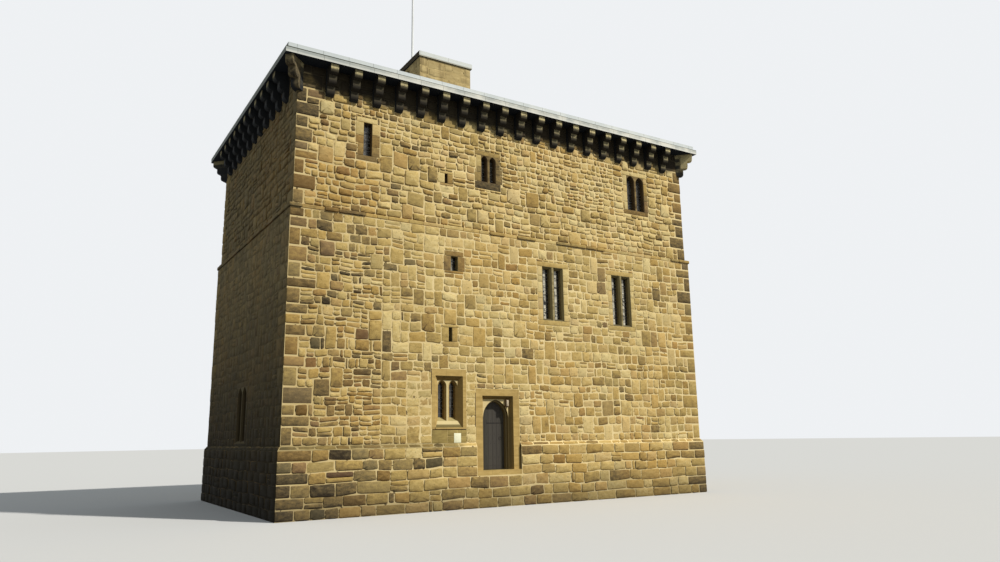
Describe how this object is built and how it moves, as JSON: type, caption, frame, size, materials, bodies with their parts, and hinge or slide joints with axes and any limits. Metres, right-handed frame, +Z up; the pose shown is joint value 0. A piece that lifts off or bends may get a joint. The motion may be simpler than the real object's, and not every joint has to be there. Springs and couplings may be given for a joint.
{
  "type": "castle keep",
  "caption": "Rectangular stone castle keep with a string course, corbelled eaves, a pointed doorway, barred windows and a stair cap house with a flagpole.",
  "frame": {"origin": "on the level ground under the middle of the plan, at the lowest point of the plinth", "axes": "+Z up; the front wall with the door faces -Y; +X runs to the right along the front as seen from outside"},
  "size_m": [19.82, 12.48, 24.495],
  "materials": {
    "rubble_wall": "honey sandstone rubble in wide pale lime mortar",
    "dressed_stone": "smooth dressed buff sandstone",
    "corbel_stone": "blackened sandstone, paler on the noses",
    "eaves_stone": "pale grey flat stones, weathered",
    "lead_roof": "dull lead sheet with rolls, on boards",
    "stone_floor": "worn flagstones",
    "oak_floor": "wide oak boards",
    "door_boards": "dark weathered oak boards",
    "ironwork": "black wrought iron",
    "leaded_glass": "dark old glass in lead",
    "pole_paint": "white gloss paint"
  },
  "bodies": {
    "keep": {"front_wall_left": "rubble_wall", "front_wall_right": "rubble_wall", "wall_over_door": "rubble_wall", "wall_under_door": "rubble_wall", "left_wall": "rubble_wall", "right_wall": "rubble_wall", "back_wall": "rubble_wall", "upper_front_wall_left": "rubble_wall", "upper_front_wall_right": "rubble_wall", "upper_back_wall": "rubble_wall", "upper_left_wall": "rubble_wall", "upper_right_wall": "rubble_wall", "cap_house_walls": "rubble_wall", "doorstep": "dressed_stone", "string_course": "dressed_stone", "door_jambs": "dressed_stone", "door_arch": "dressed_stone", "ground_window_stone": "dressed_stone", "first_window_stone": "dressed_stone", "upper_window_stone": "dressed_stone", "corbels_front": "corbel_stone", "corbels_back": "corbel_stone", "corbels_left": "corbel_stone", "corbels_right": "corbel_stone", "corner_corbels": "corbel_stone", "eaves_front": "eaves_stone", "eaves_back": "eaves_stone", "eaves_left": "eaves_stone", "eaves_right": "eaves_stone", "cap_house_slab": "eaves_stone", "roof_front": "lead_roof", "roof_back": "lead_roof", "roof_left": "lead_roof", "roof_right": "lead_roof", "ground_floor": "stone_floor", "first_floor": "oak_floor", "second_floor": "oak_floor", "cap_house_door": "door_boards", "door_pintles": "ironwork", "ground_window_glass": "leaded_glass", "first_window_glass": "leaded_glass", "upper_window_glass": "leaded_glass", "flagpole": "pole_paint"},
    "door": {"door_leaf": "door_boards", "door_ironwork": "ironwork"}
  },
  "joints": [
    {"name": "door_swing", "type": "hinge", "parent": "keep", "child": "door", "pos_m": [-1.741, -5.1985, 2.42], "axis": [0, 0, 1], "range_deg": [0, 90]}
  ]
}
